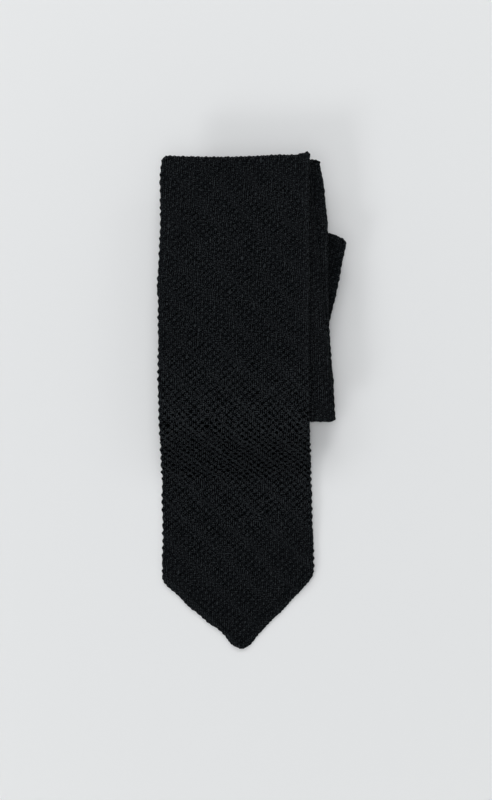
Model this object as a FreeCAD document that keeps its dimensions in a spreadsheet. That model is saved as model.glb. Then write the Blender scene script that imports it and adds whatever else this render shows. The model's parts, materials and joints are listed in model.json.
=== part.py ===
import FreeCAD, Part
import os
import math
import Sketcher

# Knitted necktie, folded flat into a package.
# Frame: millimetres, +Z up, +Y along the blade away from its point, +X to the
# blade's right. The origin is on the flat resting face, under the middle of the
# bottom layer. The knitted envelope is one long flat tube that is folded to and
# fro in thirteen layers. Layer 1 is the front blade on top, layer 13 the tail
# end at the bottom. Odd layers show the tie's face, even layers its back.
# Fold j joins layer j to layer j + 1.

V = FreeCAD.Vector
LAST = 13                 # bottom layer, the tail end
MIDDLE = range(2, LAST)   # layers that run from fold to fold

# ---------------------------------------------------------------- dimensions
DIMENSIONS = [
    ("cloth", 1.4),              # thickness of one folded layer (tube, both skins)
    ("pitch", 1.5),              # layer to layer distance in the stack
    ("skin", 0.45),              # one knitted skin of the tube
    ("loop_gap", 1.3),           # gap under the front blade for the keeper loop
    ("bend_sweep", 88.5),        # degrees of bend carried by each side of a fold
    ("side_inset", 1.3),         # hollow stops this far from the side folds
    ("end_inset", 1.4),          # hollow stops this far from a fold
    ("lining_inset", 2.0),       # interlining stops this far from the sides
    ("lining_end_inset", 2.2),   # interlining stops this far from a fold
    ("lining_cloth", 0.3),       # interlining thickness
    ("seam_off", 6.0),           # centre-back seam, beside the middle line
    ("seam_slot", 0.8),          # opening of the back seam
    ("seam_wide", 0.5),          # slip-stitch thread, laid width
    ("seam_high", 0.32),         # slip-stitch thread, laid height
    ("seam_recess", 0.05),       # thread lies this deep in the back
    ("seam_short", 0.3),         # thread stops this far from each slot end
    ("base_off", 200.0),         # sketches are drawn this far from their corner
    # front blade: drop to the table
    ("shoulder_y", -43.0),       # the blade starts to drop here
    ("shoulder_bend", 20.0),     # bend radius at the edge of the stack
    ("drop_angle", 42.0),        # slope of the drop, degrees
    ("foot_bend", 15.0),         # bend radius where it reaches the table
    # front blade: back seam
    ("blade_seam_shift", 1.8),   # seam runs this much nearer the middle line
    ("blade_seam_top", 50.0),
    ("blade_seam_end", -90.0),
    ("blade_seam_short", 0.4),   # thread stops this far from each slot end
    ("blade_tack_y", -91.4),
    # tail end
    ("tail_half", 22.5),
    ("tail_shoulder_y", 30.0),
    ("tail_tip_y", 49.0),
    ("tail_tip_half", 2.5),
    ("tail_seam_top", 22.0),
    ("tail_tack_y", 23.4),
    # small sewn pieces
    ("sewn_x", -2.0),            # middle of the label and of the keeper loop
    ("sewn_gap", 0.03),          # clearance between sewn pieces
    ("loop_long", 36.0),
    ("loop_wide", 9.0),
    ("loop_cloth", 0.45),
    ("loop_foot", 2.2),
    ("loop_y", 24.5),
    ("loop_drop", 0.6),
    ("label_long", 32.0),
    ("label_wide", 15.0),
    ("label_cloth", 0.25),
    ("label_y", 6.0),
    ("tab_long", 11.0),
    ("tab_wide", 15.0),
    ("tab_cloth", 0.2),
    ("tab_off", 9.0),            # care tab, to the right of the label's middle
    ("tab_y", -4.0),
    ("tack_long", 8.0),
    ("tack_wide", 1.2),
    ("tack_high", 0.3),
    ("tack_lift", 0.03),         # bar tack's underside above the table
    ("tack_clear", 0.4),         # room around a bar tack in its pocket
    ("tack_pocket", 0.36),       # depth of that pocket
    ("stitch_long", 2.4),
    ("stitch_wide", 0.6),
    ("stitch_high", 0.25),
    ("stitch_gap", 0.02),        # stitches hang this far under the strap
    ("stitch_end_inset", 1.4),   # stitch middle from the loop's end
    ("stitch_side_inset", 1.2),  # stitch middle from the loop's side
    ("tipping_cloth", 0.22),
    ("tipping_inset", 6.0),      # blade tipping, in from the blade's sides
    ("tipping_lift", 0.04),      # tipping's underside above the table
    ("tipping_pocket", 0.3),     # depth of the tipping's pocket
]

# folds 1 to 12: middle of the fold line x, y, tilt in degrees, tie width there
FOLDS = [
    (-1.8, 54.6, 1.2, 59.4),
    (9.4, -47.6, 0.0, 57.2),
    (4.0, 53.4, 0.0, 56.0),
    (1.2, -43.9, -7.5, 54.0),
    (18.1, 27.1, -13.0, 50.0),
    (1.8, -44.7, -6.5, 45.0),
    (0.8, 52.0, 0.4, 40.0),
    (0.2, -45.5, 0.0, 38.0),
    (0.0, 51.9, 0.0, 38.0),
    (-0.4, -45.1, 0.0, 40.0),
    (-0.2, 52.5, 0.0, 43.0),
    (0.0, -45.9, 0.0, 45.0),
]

# front blade, plan outline below the first fold (x, y): down the left side,
# across the tip and up the right side
BLADE_LEFT = [(-33.0, 3.0), (-32.3, -48.4), (-31.5, -81.0), (-31.2, -104.0), (-30.9, -113.3)]
BLADE_TIP = [(-2.8, -139.6), (-1.2, -140.7), (1.6, -140.8), (3.4, -139.6)]
BLADE_RIGHT = [(29.7, -110.1), (29.2, -95.0), (28.9, -81.0), (27.6, -48.4), (27.6, 3.0)]
BLADE_OUTLINE = BLADE_LEFT + BLADE_TIP + BLADE_RIGHT
LEFT_CORNER = len(BLADE_LEFT) - 1
RIGHT_CORNER = LEFT_CORNER + len(BLADE_TIP) + 1

# how outline points move for each millimetre of inset
CORNER_RISE = 0.4         # y, where a straight side meets the point
BLADE_TIP_RISE = 1.35     # y, at the blade's tip
BLADE_TIP_PINCH = 0.02    # share of x lost at the blade's tip
TAIL_TIP_DROP = 1.2       # y, at the tail's tip

# tipping outlines in plan (x, y); on the blade the third column is the side
# (-1 left, 1 right, 0 tip) that tipping_inset moves the point in from
TAIL_POCKET = [(-14.0, 25.0), (14.0, 25.0), (14.0, 31.0),
               (1.5, 43.0), (-1.5, 43.0), (-14.0, 31.0)]
TAIL_PLATE = [(-13.7, 25.3), (13.7, 25.3), (13.7, 30.8),
              (1.4, 42.6), (-1.4, 42.6), (-13.7, 30.8)]
BLADE_POCKET = [(-31.0, -96.0, -1), (-31.0, -111.5, -1), (-1.5, -132.6, 0),
                (2.0, -132.6, 0), (29.6, -108.5, 1), (29.6, -96.0, 1)]
BLADE_PLATE = [(-30.7, -96.3, -1), (-30.7, -111.3, -1), (-1.4, -132.2, 0),
               (1.9, -132.2, 0), (29.3, -108.4, 1), (29.3, -96.3, 1)]

# values the sheet works out itself
DERIVED = [
    ("slot_end_inset", "=3 * end_inset"),
    ("thread_end_inset", "=slot_end_inset + seam_short"),
    ("tail_seam_low", "=fold12_y + slot_end_inset"),
    ("tail_seam_y", "=(tail_seam_low + tail_seam_top) / 2"),
    ("tail_thread_long", "=tail_seam_top - tail_seam_low - 2 * seam_short"),
    ("blade_seam_x", "=seam_off - blade_seam_shift"),
    ("tab_x", "=sewn_x + tab_off"),
]

# cutting tools reach past what they cut
OVERCUT = 0.1             # out of the cloth's outer face
SLOT_BREAK = 0.05         # through the skin, into the hollow
DRAPE_TOP, DRAPE_TIP = 60.0, -145.0    # y ends of the draped blade's profile
DRAPE_HALF = 60.0                      # half width of its extrusion
TRIM_LOW, TRIM_HIGH = -5, 40           # z range of the prism that trims it


def fill_sheet(sheet):
    cells = list(DIMENSIONS)
    for j, values in enumerate(FOLDS, 1):
        cells += [("fold%02d_%s" % (j, key), value)
                  for key, value in zip(("x", "y", "tilt", "wide"), values)]
    for i, (x, y) in enumerate(BLADE_OUTLINE):
        cells += [("blade_x%02d" % i, x), ("blade_y%02d" % i, y)]
    for row, (alias, value) in enumerate(cells + DERIVED, 1):
        content = value if isinstance(value, str) else repr(float(value))
        sheet.set("A%d" % row, alias)
        sheet.set("B%d" % row, content)
        sheet.setAlias("B%d" % row, alias)


doc = FreeCAD.newDocument("necktie")
dims = doc.addObject("Spreadsheet::Sheet", "dims")
fill_sheet(dims)
doc.recompute()


def size(alias):
    return float(dims.get(alias))


CLOTH = size("cloth")
SKIN = size("skin")
SEAM_OFF = size("seam_off")
SEAM_SLOT = size("seam_slot")
SIDE_INSET = size("side_inset")
END_INSET = size("end_inset")
LINING_INSET = size("lining_inset")
LINING_END_INSET = size("lining_end_inset")
LINING_LOW = (CLOTH - size("lining_cloth")) / 2   # above a layer's underside
LINING_HIGH = LINING_LOW + size("lining_cloth")
BLADE_SEAM_X = size("blade_seam_x")

parts = []


# ------------------------------------------------------------ places and tools
def layer_z(k):
    """Underside of layer k."""
    if k == 1:
        return layer_z(2) + CLOTH + size("loop_gap")
    return size("pitch") * (LAST - k)


BLADE_Z = layer_z(1)


def back_is_low(k):
    return k % 2 == 1


def fold_width(j):
    return size("fold%02d_wide" % j)


def fold_frame(j):
    """Middle of fold j, direction along it and direction out of the stack."""
    tilt = math.radians(size("fold%02d_tilt" % j))
    along = V(math.cos(tilt), math.sin(tilt), 0)
    out = V(-along.y, along.x, 0) * (1 if j % 2 else -1)
    return V(size("fold%02d_x" % j), size("fold%02d_y" % j), 0), along, out


def edge_point(j, lateral, inward):
    middle, along, out = fold_frame(j)
    return middle + along * lateral - out * inward


def plan(points):
    return [V(x, y, 0) for x, y in points]


def rectangle(x, width, y_start, y_end):
    left, right = x - width / 2, x + width / 2
    return plan([(left, y_start), (right, y_start), (right, y_end), (left, y_end)])


def prism(points, z_low, z_high):
    base = [V(p.x, p.y, z_low) for p in points]
    wire = Part.makePolygon(base + [base[0]])
    return Part.Face(wire).extrude(V(0, 0, z_high - z_low))


def bend(j, upper):
    """Quarter bend of fold j, on the layer above or below the split plane."""
    middle, along, out = fold_frame(j)
    split_z = 0.5 * (layer_z(j) + layer_z(j + 1) + CLOTH)
    z_low = layer_z(j if upper else j + 1)
    z_high = z_low + CLOTH
    turn = V(0, 0, 1 if upper else -1).cross(out)
    reach = along * (fold_width(j) / 2)
    left, right = middle - reach, middle + reach
    section = [V(left.x, left.y, z_low), V(right.x, right.y, z_low),
               V(right.x, right.y, z_high), V(left.x, left.y, z_high)]
    face = Part.Face(Part.makePolygon(section + [section[0]]))
    return face.revolve(V(middle.x, middle.y, split_z), turn, size("bend_sweep"))


def band_corners(k):
    """Corners of layer k, each as its fold and its side."""
    return (k - 1, -1), (k - 1, 1), (k, 1), (k, -1)


def full_laterals(k, inset):
    return [side * (fold_width(j) / 2 - inset) for j, side in band_corners(k)]


def seam_laterals(k, width):
    return [SEAM_OFF + side * width / 2 for j, side in band_corners(k)]


def band(k, laterals, end_inset, z_low, z_high):
    """Flat piece of layer k between its two folds."""
    points = [edge_point(j, lateral, end_inset)
              for (j, side), lateral in zip(band_corners(k), laterals)]
    return prism(points, z_low, z_high)


def tack_pocket(x, y):
    """Cutter in the lowest cloth around a bar tack centred on x, y."""
    clear = size("tack_clear")
    half_wide = size("tack_wide") / 2 + clear
    outline = rectangle(x, size("tack_long") + 2 * clear, y - half_wide, y + half_wide)
    return prism(outline, -OVERCUT, size("tack_pocket"))


def tipping_pocket(outline):
    return prism(outline, -OVERCUT, size("tipping_pocket"))


def tipping_plate(outline):
    lift = size("tipping_lift")
    return prism(outline, lift, lift + size("tipping_cloth"))


def feature(name, shape):
    obj = doc.addObject("Part::Feature", name)
    obj.Label = name
    obj.Shape = shape
    obj.Placement = FreeCAD.Placement(V(0, 0, 0), FreeCAD.Rotation())
    parts.append(obj)


# ------------------------------------------------ knitted envelope, layers 2-12
def middle_shell(k):
    z = layer_z(k)
    slab = band(k, full_laterals(k, 0), 0, z, z + CLOTH)
    solid = slab.fuse([bend(k - 1, False), bend(k, True)]).removeSplitter()
    hollow = band(k, full_laterals(k, SIDE_INSET), END_INSET, z + SKIN, z + CLOTH - SKIN)
    if back_is_low(k):
        slot_low, slot_high = z - OVERCUT, z + SKIN + SLOT_BREAK
    else:
        slot_low, slot_high = z + CLOTH - SKIN - SLOT_BREAK, z + CLOTH + OVERCUT
    slot = band(k, seam_laterals(k, SEAM_SLOT), size("slot_end_inset"), slot_low, slot_high)
    solid = solid.cut(hollow).cut(slot)
    feature("shell_%02d" % k, solid.Solids[0] if len(solid.Solids) == 1 else solid)


# ---------------------------------------------------------- tail end, layer 13
def tail_outline(inset, start):
    """Tail in plan, inset from its sides and starting this far from the fold."""
    lateral = fold_width(LAST - 1) / 2 - inset
    half, tip_half = size("tail_half") - inset, size("tail_tip_half")
    shoulder_y = size("tail_shoulder_y") - inset * CORNER_RISE
    tip_y = size("tail_tip_y") - inset * TAIL_TIP_DROP
    return [edge_point(LAST - 1, -lateral, start), edge_point(LAST - 1, lateral, start),
            V(half, shoulder_y, 0), V(tip_half, tip_y, 0),
            V(-tip_half, tip_y, 0), V(-half, shoulder_y, 0)]


def tail_pieces():
    tail = prism(tail_outline(0, 0), 0, CLOTH).fuse(bend(LAST - 1, False)).removeSplitter()
    tail = tail.cut(prism(tail_outline(SIDE_INSET, END_INSET), SKIN, CLOTH - SKIN))
    slot = rectangle(SEAM_OFF, SEAM_SLOT, size("tail_seam_low"), size("tail_seam_top"))
    tail = tail.cut(prism(slot, -OVERCUT, SKIN + SLOT_BREAK))
    tail = tail.cut(tipping_pocket(plan(TAIL_POCKET)))
    tail = tail.cut(tack_pocket(SEAM_OFF, size("tail_tack_y")))
    feature("shell_13", tail.Solids[0])
    feature("tail_tipping", tipping_plate(plan(TAIL_PLATE)))
    lining = prism(tail_outline(LINING_INSET, LINING_END_INSET), LINING_LOW, LINING_HIGH)
    feature("interlining_13", lining)


# -------------------------------------------------------- front blade, layer 1
def drape_line(offset):
    """Points of the draped blade in the YZ plane, at this height in its cloth:
    line, shoulder arc, sloping line, foot arc, line."""
    slope = math.radians(size("drop_angle"))
    shoulder_bend, foot_bend = size("shoulder_bend"), size("foot_bend")
    middle = CLOTH / 2
    shoulder_y = size("shoulder_y")
    shoulder_z = BLADE_Z + middle - shoulder_bend
    foot_z = middle + foot_bend
    drop_start_y = shoulder_y - shoulder_bend * math.sin(slope)
    drop_start_z = shoulder_z + shoulder_bend * math.cos(slope)
    drop_end_z = foot_z - foot_bend * math.cos(slope)
    run = (drop_start_z - drop_end_z) / math.tan(slope)
    foot_y = drop_start_y - run - foot_bend * math.sin(slope)
    outer = shoulder_bend + offset - middle
    inner = foot_bend - offset + middle
    shoulder = [V(0, shoulder_y - outer * math.sin(angle), shoulder_z + outer * math.cos(angle))
                for angle in (0, slope / 2, slope)]
    foot = [V(0, foot_y + inner * math.sin(angle), foot_z - inner * math.cos(angle))
            for angle in (slope, slope / 2, 0)]
    return [V(0, DRAPE_TOP, BLADE_Z + offset)] + shoulder + foot + [V(0, DRAPE_TIP, offset)]


def line(start, end):
    return Part.LineSegment(start, end).toShape()


def drape_edges(p):
    return [line(p[0], p[1]), Part.Arc(p[1], p[2], p[3]).toShape(), line(p[3], p[4]),
            Part.Arc(p[4], p[5], p[6]).toShape(), line(p[6], p[7])]


def blade_sheet(low, high, outline):
    """Draped sheet between two heights in the blade's cloth, trimmed in plan."""
    under, over = drape_line(low), drape_line(high)
    edges = drape_edges(under) + [line(under[-1], over[-1])]
    edges += drape_edges(over[::-1]) + [line(over[0], under[0])]
    body = Part.Face(Part.Wire(edges)).extrude(V(2 * DRAPE_HALF, 0, 0))
    body.translate(V(-DRAPE_HALF, 0, 0))
    return body.common(prism(outline, TRIM_LOW, TRIM_HIGH))


def blade_outline(inset, start):
    """Blade in plan, inset from its sides and starting this far from the fold."""
    lateral = fold_width(1) / 2 - inset
    points = [edge_point(1, -lateral, start)]
    for i in range(len(BLADE_OUTLINE)):
        x, y = size("blade_x%02d" % i), size("blade_y%02d" % i)
        if LEFT_CORNER < i < RIGHT_CORNER:
            x *= 1 - BLADE_TIP_PINCH * inset
            y += BLADE_TIP_RISE * inset
        else:
            x += inset if i <= LEFT_CORNER else -inset
            if i in (LEFT_CORNER, RIGHT_CORNER):
                y += CORNER_RISE * inset
        points.append(V(x, y, 0))
    points.append(edge_point(1, lateral, start))
    return points


def blade_tipping_outline(table):
    return plan([(x - side * size("tipping_inset"), y) for x, y, side in table])


def blade_seam_line(width, short):
    top, end = size("blade_seam_top") - short, size("blade_seam_end") + short
    return rectangle(BLADE_SEAM_X, width, top, end)


def blade_pieces():
    blade = blade_sheet(0, CLOTH, blade_outline(0, 0))
    blade = blade.fuse(bend(1, True)).removeSplitter()
    blade = blade.cut(blade_sheet(SKIN, CLOTH - SKIN, blade_outline(SIDE_INSET, END_INSET)))
    slot = blade_sheet(-OVERCUT, SKIN + SLOT_BREAK, blade_seam_line(SEAM_SLOT, 0))
    blade = blade.cut(slot)
    blade = blade.cut(tack_pocket(BLADE_SEAM_X, size("blade_tack_y")))
    blade = blade.cut(tipping_pocket(blade_tipping_outline(BLADE_POCKET)))
    feature("shell_01", blade.Solids[0])
    feature("blade_tipping", tipping_plate(blade_tipping_outline(BLADE_PLATE)))
    lining = blade_sheet(LINING_LOW, LINING_HIGH, blade_outline(LINING_INSET, LINING_END_INSET))
    feature("interlining_01", lining.Solids[0])
    recess = size("seam_recess")
    thread_line = blade_seam_line(size("seam_wide"), size("blade_seam_short"))
    thread = blade_sheet(recess, recess + size("seam_high"), thread_line)
    feature("back_seam_01", thread.Solids[0])


# ------------------------------------- flat sewn-in strips, drawn and padded
def padded(name, corners, z, height):
    """Body padded by the alias height from a sketch. A corner is its x and y
    expressions, then its x and y values."""
    body = doc.addObject("PartDesign::Body", name)
    body.Label = name
    sketch = body.newObject("Sketcher::SketchObject", name + "_sketch")
    ground = next(o for o in body.Origin.OriginFeatures if o.Role == "XY_Plane")
    sketch.AttachmentSupport = [(ground, "")]
    sketch.MapMode = "FlatFace"
    base = size("base_off")
    count = len(corners)
    points = [V(x + base, y + base, 0) for x_text, y_text, x, y in corners]
    for i in range(count):
        sketch.addGeometry(Part.LineSegment(points[i], points[(i + 1) % count]), False)
    for i in range(count):
        sketch.addConstraint(Sketcher.Constraint("Coincident", i, 2, (i + 1) % count, 1))
    for i in range(count):
        for kind, label, value, text in (("DistanceX", "px%d" % i, points[i].x, corners[i][0]),
                                         ("DistanceY", "py%d" % i, points[i].y, corners[i][1])):
            index = sketch.addConstraint(Sketcher.Constraint(kind, -1, 1, i, 1, value))
            sketch.renameConstraint(index, label)
            sketch.setExpression("Constraints." + label, "dims.base_off + " + text)
    pad = body.newObject("PartDesign::Pad", name + "_pad")
    pad.Profile = sketch
    pad.Length = size(height)
    pad.setExpression("Length", "dims." + height)
    body.Tip = pad
    body.Placement = FreeCAD.Placement(V(-base, -base, z), FreeCAD.Rotation())
    sketch.Visibility = False
    parts.append(body)


def bound_band(k, lateral_text, laterals, inset):
    """Corners of a strip of layer k. The text gives a lateral place from
    {side} and {fold}; inset is the alias of the distance from the folds."""
    corners = []
    for (j, side), lateral in zip(band_corners(k), laterals):
        fold = "dims.fold%02d_" % j
        cosine, sine = "cos(%stilt * 1 deg)" % fold, "sin(%stilt * 1 deg)" % fold
        across = "(" + lateral_text.format(side=side, fold=fold) + ")"
        x_sign, y_sign = ("+", "-") if j % 2 else ("-", "+")
        point = edge_point(j, lateral, size(inset))
        corners.append((
            "%sx + %s * %s %s dims.%s * %s" % (fold, across, cosine, x_sign, inset, sine),
            "%sy + %s * %s %s dims.%s * %s" % (fold, across, sine, y_sign, inset, cosine),
            point.x, point.y))
    return corners


def bound_rectangle(x, y, x_long, y_long):
    """Corners of a rectangle whose middle and sizes are given as aliases."""
    return [("dims.%s + %d * dims.%s / 2" % (x, x_side, x_long),
             "dims.%s + %d * dims.%s / 2" % (y, y_side, y_long),
             size(x) + x_side * size(x_long) / 2,
             size(y) + y_side * size(y_long) / 2)
            for x_side, y_side in ((-1, -1), (1, -1), (1, 1), (-1, 1))]


def thread_z(k):
    if back_is_low(k):
        return layer_z(k) + size("seam_recess")
    return layer_z(k) + CLOTH - size("seam_recess") - size("seam_high")


def middle_strips(k):
    """Interlining and slip-stitch thread of layer k."""
    lining = bound_band(k, "{side} * ({fold}wide / 2 - dims.lining_inset)",
                        full_laterals(k, LINING_INSET), "lining_end_inset")
    padded("interlining_%02d" % k, lining, layer_z(k) + LINING_LOW, "lining_cloth")
    thread = bound_band(k, "dims.seam_off + {side} * dims.seam_wide / 2",
                        seam_laterals(k, size("seam_wide")), "thread_end_inset")
    padded("back_seam_%02d" % k, thread, thread_z(k), "seam_high")


def small_pieces():
    gap = size("sewn_gap")
    thread = bound_rectangle("seam_off", "tail_seam_y", "seam_wide", "tail_thread_long")
    padded("back_seam_13", thread, thread_z(LAST), "seam_high")
    # woven label, blank, and the small care tab under its lower edge
    label_z = BLADE_Z - gap - size("label_cloth")
    label = bound_rectangle("sewn_x", "label_y", "label_long", "label_wide")
    padded("blank_label", label, label_z, "label_cloth")
    tab = bound_rectangle("tab_x", "tab_y", "tab_long", "tab_wide")
    padded("care_tab", tab, label_z - gap - size("tab_cloth"), "tab_cloth")
    # bar tacks that end the slip-stitched seam
    for name, x, y in (("blade_bar_tack", "blade_seam_x", "blade_tack_y"),
                       ("tail_bar_tack", "seam_off", "tail_tack_y")):
        tack = bound_rectangle(x, y, "tack_long", "tack_wide")
        padded(name, tack, size("tack_lift"), "tack_high")


# ----------------------------------------------------------------- keeper loop
def bound_box(name, length, width, height, corner):
    """Box from its lowest corner, with its sizes given as expressions."""
    box = doc.addObject("Part::Box", name)
    box.setExpression("Length", length)
    box.setExpression("Width", width)
    box.setExpression("Height", height)
    box.Placement = FreeCAD.Placement(corner, FreeCAD.Rotation())
    return box


def loop_pieces():
    """Band standing off the blade's back on two sewn feet, and its stitches."""
    loop_x, loop_y = size("sewn_x"), size("loop_y")
    half_long, half_wide = size("loop_long") / 2, size("loop_wide") / 2
    low_y, low_z = loop_y - half_wide, BLADE_Z - size("loop_drop")
    left = loop_x - half_long
    right_foot = loop_x + half_long - size("loop_foot")
    pieces = [bound_box("loop_strap", "dims.loop_long", "dims.loop_wide", "dims.loop_cloth",
                        V(left, low_y, low_z))]
    for i, x in enumerate((left, right_foot)):
        pieces.append(bound_box("loop_foot_%d" % i, "dims.loop_foot", "dims.loop_wide",
                                "dims.loop_drop - dims.sewn_gap", V(x, low_y, low_z)))
    loop = doc.addObject("Part::MultiFuse", "keeper_loop")
    loop.Label = "keeper_loop"
    loop.Shapes = pieces
    parts.append(loop)

    # four hand stitches under the loop's ends
    reach_x = half_long - size("stitch_end_inset")
    reach_y = half_wide - size("stitch_side_inset")
    stitch_z = low_z - size("stitch_gap") - size("stitch_high")
    stitches = []
    for i, (x_side, y_side) in enumerate(((-1, -1), (1, -1), (1, 1), (-1, 1))):
        x = loop_x + x_side * reach_x - size("stitch_long") / 2
        y = loop_y + y_side * reach_y - size("stitch_wide") / 2
        stitches.append(bound_box("stitch_%d" % i, "dims.stitch_long", "dims.stitch_wide",
                                  "dims.stitch_high", V(x, y, stitch_z)))
    group = doc.addObject("Part::Compound", "loop_stitches")
    group.Label = "loop_stitches"
    group.Links = stitches
    parts.append(group)


# ------------------------------------------------------------ build and export
for k in MIDDLE:
    middle_shell(k)
tail_pieces()
blade_pieces()
for k in MIDDLE:
    middle_strips(k)
small_pieces()
loop_pieces()
doc.recompute()

bad = []
for obj in doc.Objects:
    if "Invalid" in obj.State or "Error" in obj.State:
        bad.append("%s is %s" % (obj.Name, obj.State))
for obj in parts:
    shape = obj.Shape
    if shape.isNull() or not shape.isValid() or shape.Volume <= 0 or not shape.Solids:
        bad.append("%s has no sound shape" % obj.Label)
if bad:
    raise SystemExit("\n".join(bad))

os.makedirs("parts", exist_ok=True)
for obj in parts:
    obj.Shape.exportStep(os.path.join("parts", obj.Label + ".step"))
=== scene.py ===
import json
import math

import bpy
import numpy as np
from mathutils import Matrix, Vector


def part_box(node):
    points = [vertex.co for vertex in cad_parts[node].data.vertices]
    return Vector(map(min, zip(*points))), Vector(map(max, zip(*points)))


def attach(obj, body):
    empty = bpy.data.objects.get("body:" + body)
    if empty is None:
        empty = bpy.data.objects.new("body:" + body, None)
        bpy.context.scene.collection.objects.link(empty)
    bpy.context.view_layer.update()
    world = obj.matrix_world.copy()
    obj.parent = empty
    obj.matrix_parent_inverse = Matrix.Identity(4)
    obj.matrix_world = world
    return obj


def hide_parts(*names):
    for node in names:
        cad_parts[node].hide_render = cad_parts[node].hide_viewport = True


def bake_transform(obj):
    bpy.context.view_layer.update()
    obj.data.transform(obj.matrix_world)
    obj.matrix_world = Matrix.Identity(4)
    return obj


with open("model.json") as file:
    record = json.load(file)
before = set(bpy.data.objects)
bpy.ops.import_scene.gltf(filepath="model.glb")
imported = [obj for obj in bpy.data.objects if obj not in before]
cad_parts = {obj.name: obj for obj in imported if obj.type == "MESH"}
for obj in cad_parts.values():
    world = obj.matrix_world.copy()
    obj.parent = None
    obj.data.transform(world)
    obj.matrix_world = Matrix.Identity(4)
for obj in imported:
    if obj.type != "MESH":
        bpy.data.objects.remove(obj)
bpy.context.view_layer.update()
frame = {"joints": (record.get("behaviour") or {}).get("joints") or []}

# ----------------------------------------------------------------------------
# A knitted tie folded to and fro in thirteen layers. Everything below works in
# millimetres in the CAD frame and is scaled to metres when a mesh is made.
# ----------------------------------------------------------------------------
MM = 0.001
T = 1.4                      # thickness of one layer
HALF = T / 2
WALE = 1.55                  # stitch column pitch
COURSE = 1.524               # stitch row pitch
X_OFF = -1.8                 # lattice origin of the layers behind the blade
rng = np.random.RandomState(7)
TABLE_N = rng.rand(64, 64)
TABLE_A = rng.rand(509)
TABLE_B = rng.rand(509)


def smooth(a, b, x):
    t = np.clip((x - a) / (b - a), 0, 1)
    return t * t * (3 - 2 * t)


def noise(x, y, seed=0):
    """Smooth value noise in -1..1."""
    x = np.asarray(x, float) + seed * 17.31
    y = np.asarray(y, float) + seed * 9.73
    x0, y0 = np.floor(x).astype(int), np.floor(y).astype(int)
    fx, fy = x - x0, y - y0
    fx, fy = fx * fx * (3 - 2 * fx), fy * fy * (3 - 2 * fy)
    g = lambda i, j: TABLE_N[i % 64, j % 64]
    v = (g(x0, y0) * (1 - fx) * (1 - fy) + g(x0 + 1, y0) * fx * (1 - fy)
         + g(x0, y0 + 1) * (1 - fx) * fy + g(x0 + 1, y0 + 1) * fx * fy)
    return 2 * v - 1


def per_stitch(a, b, table):
    ia, ib = np.round(a).astype(int), np.round(b).astype(int)
    return table[(ia * 131 + ib * 57 + 7919) % 509]


def lattice_jitter(i, j, seed=0):
    """Hand-worked cloth: stitches wander from the exact lattice."""
    i2 = i + 0.17 * noise(i * 0.23, j * 0.19, seed + 1) + 0.13 * noise(i * 0.9, j * 0.8, seed + 2)
    j2 = j + 0.17 * noise(i * 0.21, j * 0.24, seed + 3) + 0.13 * noise(i * 0.8, j * 0.9, seed + 4)
    return i2, j2


def cell(a, b, half):
    """Distance in stitches to the nearest raised stitch (half=0) or open hole
    (half=0.5), and that stitch's own number."""
    qa, qb = np.round(a - half), np.round(b - half)
    ra, rb = a - half - qa, b - half - qb
    return ra + rb, ra - rb, qa, qb


def stitches(i, j, rib=0.3, line_on=1.0, open_=0.6):
    """Height of the openwork stitch in mm (0 is the top of a plain bump) and the
    tone the material reads. The cloth is worked in diagonal bands ten stitches
    wide. Inside a band raised stitches and open holes alternate; from one band
    to the next they are offset by half a stitch, and a raised line runs between."""
    t = (i + j) / 10.0
    saw = t - np.floor(t) - 0.5
    a, b = (i + j) / 2, (i - j) / 2 - 0.5 * saw
    di, dj, qa, qb = cell(a, b, 0.0)
    bump = np.exp(-(di / 0.42) ** 2 - (dj / 0.60) ** 2)
    hi, hj, ha, hb = cell(a, b, 0.5)
    hole = np.exp(-((hi / 0.56) ** 2 + (hj / 0.50) ** 2) ** 1.3)
    r1 = per_stitch(qa, qb, TABLE_A)
    r2 = per_stitch(ha, hb, TABLE_B)
    d = np.abs(t - np.round(t)) * 10.0
    line = np.exp(-(d / 1.6) ** 2) * line_on
    furrow = 0.5 - 0.5 * np.cos(2 * np.pi * a)
    ribs = 0.5 + 0.5 * np.cos(2 * np.pi * (a + b))
    h = (0.14 * bump * (0.45 + 1.0 * r1) + 0.05 * line
         - 0.26 * hole * (0.25 + 0.50 * open_) * (0.40 + 1.0 * r2) * (1 - 0.6 * np.minimum(line, 1))
         - 0.05 * furrow * open_ * (1 - np.minimum(line, 1))
         + 0.26 * rib * (ribs - 0.5))
    # the tone is a little lighter where the stitches are open, painted light offsetting the shade in the open holes
    tone = 0.5 + 0.078 * line + 0.02 * noise(i * 0.12, j * 0.10, 5) + 0.04 * (open_ - 0.4)
    return h - 0.25, tone


# ------------------------------------------------------------------- the path
FOLD_WIDE = {1: 59.4, 2: 57.2, 3: 56.0, 4: 54.0, 5: 50.0, 6: 45.0, 7: 40.0, 8: 38.0, 9: 38.0, 10: 40.0, 11: 43.0, 12: 45.0}
JOINT = {j["name"]: j for j in frame["joints"]}
BODY = {1: "front_blade", 13: "tail_end"}
for k in range(2, 13):
    BODY[k] = "panel_%02d" % k


def layer_z(k):
    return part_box("interlining_%02d" % k)[0][2] / MM - 0.55 if k != 1 else 19.2


FOLD = {}
for j in range(1, 13):
    q = JOINT["fold_%02d" % j]
    p = np.array(q["pos_m"]) / MM
    u = np.array(q["axis"], float)
    u = u if u[0] > 0 else -u
    out = np.array([-u[1], u[0], 0.0]) * (1 if j % 2 else -1)
    zu, zl = layer_z(j) + HALF, layer_z(j + 1) + HALF
    r = (zu - zl) / 2
    c = p - out * (r + HALF + 0.05)
    FOLD[j] = {"c": np.array([c[0], c[1], 0.0]), "u": u, "out": out, "r": r, "m": (zu + zl) / 2, "w": FOLD_WIDE[j]}

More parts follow.
